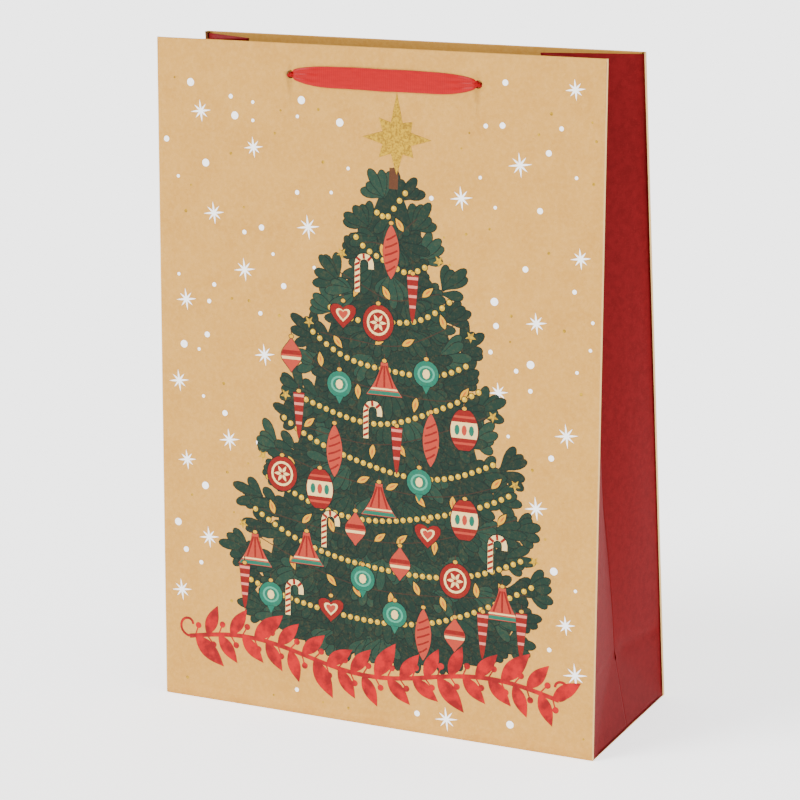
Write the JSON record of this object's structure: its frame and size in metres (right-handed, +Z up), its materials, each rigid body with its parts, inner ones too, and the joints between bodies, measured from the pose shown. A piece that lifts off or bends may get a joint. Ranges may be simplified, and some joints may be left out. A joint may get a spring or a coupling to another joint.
{
  "type": "paper gift bag",
  "caption": "Tall folded paper gift bag with side gussets that fold inward, a card base, stiffened turned-in mouth and ribbon handles that pull up through holes.",
  "frame": {"origin": "middle of the underside of the base, where the bag stands on a table", "axes": "+X to the right as seen from the front panel, +Y from the front panel to the back panel, +Z up out of the mouth"},
  "size_m": [0.35, 0.15, 0.4998],
  "materials": {
    "kraft_paper": "uncoated brown kraft paper with a fine fibre fleck, printed flat, with foil stamping on the front and back",
    "red_paper": "the same paper printed solid red, with a soft satin varnish",
    "grey_card": "plain uncoated greyboard",
    "satin_ribbon": "woven polyester satin ribbon with a bright sheen"
  },
  "bodies": {
    "base": {"base_front_flap": "kraft_paper", "base_back_flap": "kraft_paper", "base_left_flap": "red_paper", "base_right_flap": "red_paper", "base_card": "grey_card", "left_base_triangle": "red_paper", "right_base_triangle": "red_paper"},
    "front": {"front_panel": "kraft_paper", "front_hem": "kraft_paper", "front_top_card": "grey_card"},
    "back": {"back_panel": "kraft_paper", "back_hem": "kraft_paper", "back_top_card": "grey_card", "side_seam_lap": "red_paper"},
    "left_front_fold": {"left_gusset_front": "red_paper", "left_gusset_front_hem": "red_paper"},
    "left_back_fold": {"left_gusset_back": "red_paper", "left_gusset_back_hem": "red_paper"},
    "right_front_fold": {"right_gusset_front": "red_paper", "right_gusset_front_hem": "red_paper"},
    "right_back_fold": {"right_gusset_back": "red_paper", "right_gusset_back_hem": "red_paper"},
    "front_handle": {"front_ribbon": "satin_ribbon"},
    "front_knots": {"front_knot_left": "satin_ribbon", "front_knot_right": "satin_ribbon", "front_leg_left": "satin_ribbon", "front_leg_right": "satin_ribbon"},
    "back_handle": {"back_ribbon": "satin_ribbon"},
    "back_knots": {"back_knot_left": "satin_ribbon", "back_knot_right": "satin_ribbon", "back_leg_left": "satin_ribbon", "back_leg_right": "satin_ribbon"}
  },
  "joints": [
    {"name": "back_panel_lean", "type": "hinge", "parent": "base", "child": "back", "pos_m": [0, 0.075, 0], "axis": [1, 0, 0], "range_deg": [-3.6, 4.8]},
    {"name": "front_panel_lean", "type": "hinge", "parent": "base", "child": "front", "pos_m": [0, -0.075, 0], "axis": [1, 0, 0], "range_deg": [-1.09, 0.82]},
    {"name": "left_front_fold_turn", "type": "hinge", "parent": "front", "child": "left_front_fold", "pos_m": [-0.1744, -0.07415, 0], "axis": [0, 0.0272, 0.9996], "range_deg": [-17.81, 13.37]},
    {"name": "left_back_fold_turn", "type": "hinge", "parent": "back", "child": "left_back_fold", "pos_m": [-0.1744, 0.07415, 0], "axis": [0, -0.1218, 0.9926], "range_deg": [-21.29, 28.37]},
    {"name": "right_front_fold_turn", "type": "hinge", "parent": "front", "child": "right_front_fold", "pos_m": [0.1744, -0.07415, 0], "axis": [0, 0.0272, 0.9996], "range_deg": [-13.37, 17.81]},
    {"name": "right_back_fold_turn", "type": "hinge", "parent": "back", "child": "right_back_fold", "pos_m": [0.1744, 0.07415, 0], "axis": [0, -0.1218, 0.9926], "range_deg": [-28.37, 21.29]},
    {"name": "front_handle_rise", "type": "slide", "parent": "front", "child": "front_handle", "axis": [0, 0.0272, 0.9996], "range_m": [0, 0.105]},
    {"name": "front_knots_rise", "type": "slide", "parent": "front", "child": "front_knots", "axis": [0, 0.0272, 0.9996], "range_m": [0, 0.074], "deforming": ["front_leg_left", "front_leg_right"]},
    {"name": "back_handle_rise", "type": "slide", "parent": "back", "child": "back_handle", "axis": [0, -0.1218, 0.9926], "range_m": [0, 0.105]},
    {"name": "back_knots_rise", "type": "slide", "parent": "back", "child": "back_knots", "axis": [0, -0.1218, 0.9926], "range_m": [0, 0.074], "deforming": ["back_leg_left", "back_leg_right"]}
  ],
  "couplings": [
    {"joint": "front_panel_lean", "follows": "back_panel_lean", "ratio": -0.2235},
    {"joint": "left_front_fold_turn", "follows": "back_panel_lean", "ratio": -3.7},
    {"joint": "left_back_fold_turn", "follows": "back_panel_lean", "ratio": 5.9},
    {"joint": "right_front_fold_turn", "follows": "back_panel_lean", "ratio": 3.7},
    {"joint": "right_back_fold_turn", "follows": "back_panel_lean", "ratio": -5.9},
    {"joint": "front_knots_rise", "follows": "front_handle_rise", "ratio": 0.7},
    {"joint": "back_knots_rise", "follows": "back_handle_rise", "ratio": 0.7}
  ]
}
